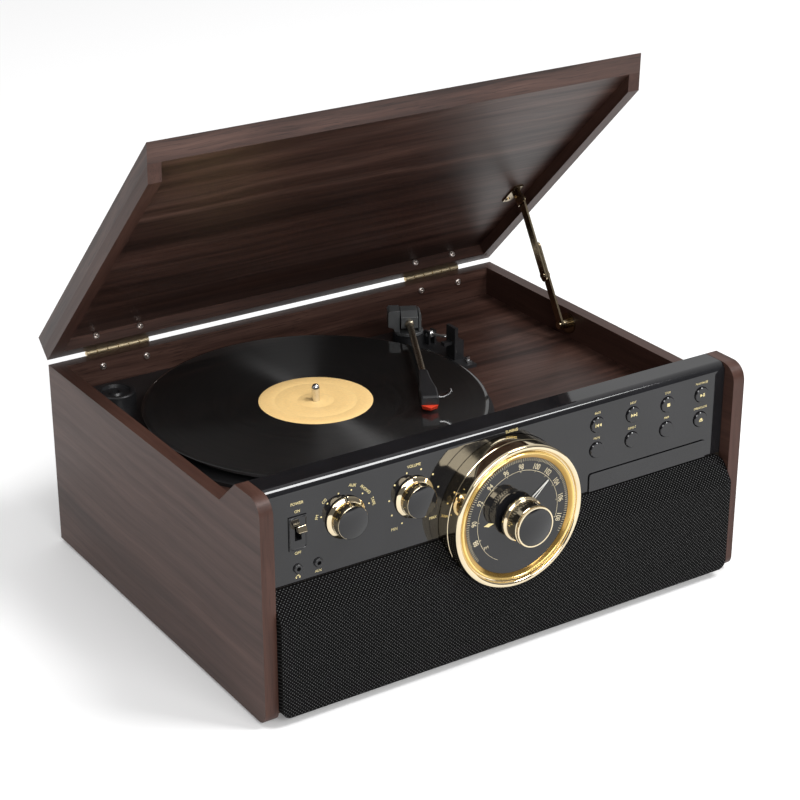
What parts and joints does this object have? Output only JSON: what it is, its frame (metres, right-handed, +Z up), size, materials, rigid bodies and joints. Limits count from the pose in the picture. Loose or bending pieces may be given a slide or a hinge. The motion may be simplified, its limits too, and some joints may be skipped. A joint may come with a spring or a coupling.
{
  "type": "record player",
  "caption": "Table-top record player in a dark wood cabinet, lid held open by a folding stay, with a lit round tuning dial, knobs, push buttons, a disc drawer and a woven grille.",
  "frame": {"origin": "Centre of the whole box seen from below, with the lid open, on the plane the feet stand on.", "axes": "X runs along the front to the viewer's right, Y from the front to the hinge side, Z up."},
  "size_m": [0.48, 0.4316, 0.4382],
  "materials": {
    "wood": "dark open-grain veneer, satin",
    "panel_black": "piano black, polished",
    "black_plastic": "fine matt",
    "grille_cloth": "woven black",
    "gold_metal": "champagne chrome, polished",
    "glow": "lit translucent ring",
    "dial_black": "gloss",
    "pointer_white": "painted",
    "steel": "plated",
    "brass": "dull plated",
    "alloy": "satin",
    "rubber": "matt",
    "vinyl": "grooved, with a paper label",
    "red_plastic": "moulded",
    "board_green": "lacquered",
    "fibre_board": "raw pressed board"
  },
  "bodies": {
    "cabinet": {"left_side_panel": "wood", "right_side_panel": "wood", "rear_panel": "wood", "deck_board": "wood", "base_panel": "fibre_board", "baffle_board": "fibre_board", "feet": "rubber", "control_panel": "panel_black", "speaker_grille": "grille_cloth", "speakers": "black_plastic", "circuit_boards": "board_green", "rear_terminal_plate": "black_plastic", "cabinet_hinge_leaves": "brass", "cabinet_hinge_bolts": "steel", "stay_lower_bracket": "brass", "dial_housing": "gold_metal", "dial_glow_ring": "glow", "dial_face": "dial_black", "control_switches": "black_plastic", "power_switch_bezel": "panel_black", "jack_sockets": "black_plastic", "disc_mechanism": "black_plastic", "turntable_chassis": "black_plastic", "platter_bearing": "steel", "drive_motor": "steel", "drive_belt": "rubber", "small_record_adapter": "black_plastic"},
    "lid": {"lid_board": "wood", "lid_side_walls": "wood", "lid_rear_wall": "wood", "lid_hinge_leaves": "brass", "lid_hinge_bolts": "steel", "stay_upper_bracket": "brass"},
    "stay_lower": {"stay_lower_bar": "brass"},
    "stay_upper": {"stay_upper_bar": "brass"},
    "platter_group": {"platter": "alloy", "slip_mat": "rubber", "spindle": "steel", "record": "vinyl"},
    "pulley": {"motor_pulley": "alloy"},
    "arm_turret": {"tonearm_yoke": "black_plastic"},
    "arm": {"tonearm_tube": "black_plastic", "headshell": "black_plastic", "cartridge": "red_plastic"},
    "cue": {"cue_lever": "steel"},
    "speed": {"speed_switch": "steel"},
    "function": {"function_knob": "gold_metal"},
    "volume": {"volume_knob": "gold_metal"},
    "tuning": {"tuning_knob": "gold_metal"},
    "pointer": {"dial_pointer": "pointer_white"},
    "toggle": {"power_toggle": "gold_metal"},
    "drawer": {"disc_drawer": "panel_black"},
    "key_back": {"button_back": "panel_black"},
    "key_next": {"button_next": "panel_black"},
    "key_stop": {"button_stop": "panel_black"},
    "key_play": {"button_play": "panel_black"},
    "key_blank_left": {"button_blank_left": "panel_black"},
    "key_blank_right": {"button_blank_right": "panel_black"},
    "key_pair": {"button_pair": "panel_black"},
    "key_eject": {"button_eject": "panel_black"}
  },
  "joints": [
    {"name": "lid_hinge", "type": "hinge", "parent": "cabinet", "child": "lid", "pos_m": [0, 0.20014, 0.17725], "axis": [1, 0, 0], "range_deg": [0, 45.5]},
    {"name": "stay_foot_pivot", "type": "hinge", "parent": "cabinet", "child": "stay_lower", "pos_m": [0.217, 0.05044, 0.1626], "axis": [1, 0, 0], "range_deg": [0, 125.14]},
    {"name": "stay_top_pivot", "type": "hinge", "parent": "lid", "child": "stay_upper", "pos_m": [0.217, 0.11458, 0.27053], "axis": [1, 0, 0], "range_deg": [-87.41, 0]},
    {"name": "platter_spin", "type": "hinge", "parent": "cabinet", "child": "platter_group", "pos_m": [-0.065, 0.02874, 0.161], "axis": [0, 0, -1], "continuous": true},
    {"name": "pulley_spin", "type": "hinge", "parent": "cabinet", "child": "pulley", "pos_m": [-0.135, 0.08374, 0.151], "axis": [0, 0, -1], "continuous": true},
    {"name": "arm_swing", "type": "hinge", "parent": "cabinet", "child": "arm_turret", "pos_m": [0.09, 0.11774, 0.1735], "axis": [0, 0, 1], "range_deg": [-14, 34]},
    {"name": "arm_lift", "type": "hinge", "parent": "arm_turret", "child": "arm", "pos_m": [0.09, 0.11774, 0.1735], "axis": [0.887, -0.4617, 0], "range_deg": [-6, 0]},
    {"name": "cue_turn", "type": "hinge", "parent": "cabinet", "child": "cue", "pos_m": [0.106, 0.10474, 0.16], "axis": [1, 0, 0], "range_deg": [-40, 0]},
    {"name": "speed_slide", "type": "slide", "parent": "cabinet", "child": "speed", "axis": [0, 1, 0], "range_m": [-0.004, 0.004]},
    {"name": "function_turn", "type": "hinge", "parent": "cabinet", "child": "function", "pos_m": [-0.15749, -0.16926, 0.16], "axis": [0, 1, 0], "range_deg": [-75, 75]},
    {"name": "volume_turn", "type": "hinge", "parent": "cabinet", "child": "volume", "pos_m": [-0.09362, -0.16926, 0.16], "axis": [0, 1, 0], "range_deg": [0, 303]},
    {"name": "tuning_turn", "type": "hinge", "parent": "cabinet", "child": "tuning", "pos_m": [-0.007, -0.16926, 0.128], "axis": [0, 1, 0], "range_deg": [-316.8, 114.2]},
    {"name": "pointer_turn", "type": "hinge", "parent": "cabinet", "child": "pointer", "pos_m": [-0.007, -0.16926, 0.128], "axis": [0, 1, 0], "range_deg": [-158.4, 57.1]},
    {"name": "toggle_flip", "type": "hinge", "parent": "cabinet", "child": "toggle", "pos_m": [-0.20049, -0.16326, 0.1585], "axis": [1, 0, 0], "range_deg": [0, 50]},
    {"name": "drawer_slide", "type": "slide", "parent": "cabinet", "child": "drawer", "axis": [0, -1, 0], "range_m": [0, 0.13]},
    {"name": "press_back", "type": "slide", "parent": "cabinet", "child": "key_back", "axis": [0, 1, 0], "range_m": [0, 0.0015], "stiffness_N_per_m": 500},
    {"name": "press_next", "type": "slide", "parent": "cabinet", "child": "key_next", "axis": [0, 1, 0], "range_m": [0, 0.0015], "stiffness_N_per_m": 500},
    {"name": "press_stop", "type": "slide", "parent": "cabinet", "child": "key_stop", "axis": [0, 1, 0], "range_m": [0, 0.0015], "stiffness_N_per_m": 500},
    {"name": "press_play", "type": "slide", "parent": "cabinet", "child": "key_play", "axis": [0, 1, 0], "range_m": [0, 0.0015], "stiffness_N_per_m": 500},
    {"name": "press_blank_left", "type": "slide", "parent": "cabinet", "child": "key_blank_left", "axis": [0, 1, 0], "range_m": [0, 0.0015], "stiffness_N_per_m": 500},
    {"name": "press_blank_right", "type": "slide", "parent": "cabinet", "child": "key_blank_right", "axis": [0, 1, 0], "range_m": [0, 0.0015], "stiffness_N_per_m": 500},
    {"name": "press_pair", "type": "slide", "parent": "cabinet", "child": "key_pair", "axis": [0, 1, 0], "range_m": [0, 0.0015], "stiffness_N_per_m": 500},
    {"name": "press_eject", "type": "slide", "parent": "cabinet", "child": "key_eject", "axis": [0, 1, 0], "range_m": [0, 0.0015], "stiffness_N_per_m": 500}
  ],
  "couplings": [
    {"joint": "stay_foot_pivot", "follows": "lid_hinge", "ratio": 2.7492},
    {"joint": "stay_top_pivot", "follows": "lid_hinge", "ratio": -1.9199},
    {"joint": "pulley_spin", "follows": "platter_spin", "ratio": 8.8333},
    {"joint": "arm_lift", "follows": "cue_turn", "ratio": 0.15},
    {"joint": "pointer_turn", "follows": "tuning_turn", "ratio": 0.5}
  ]
}
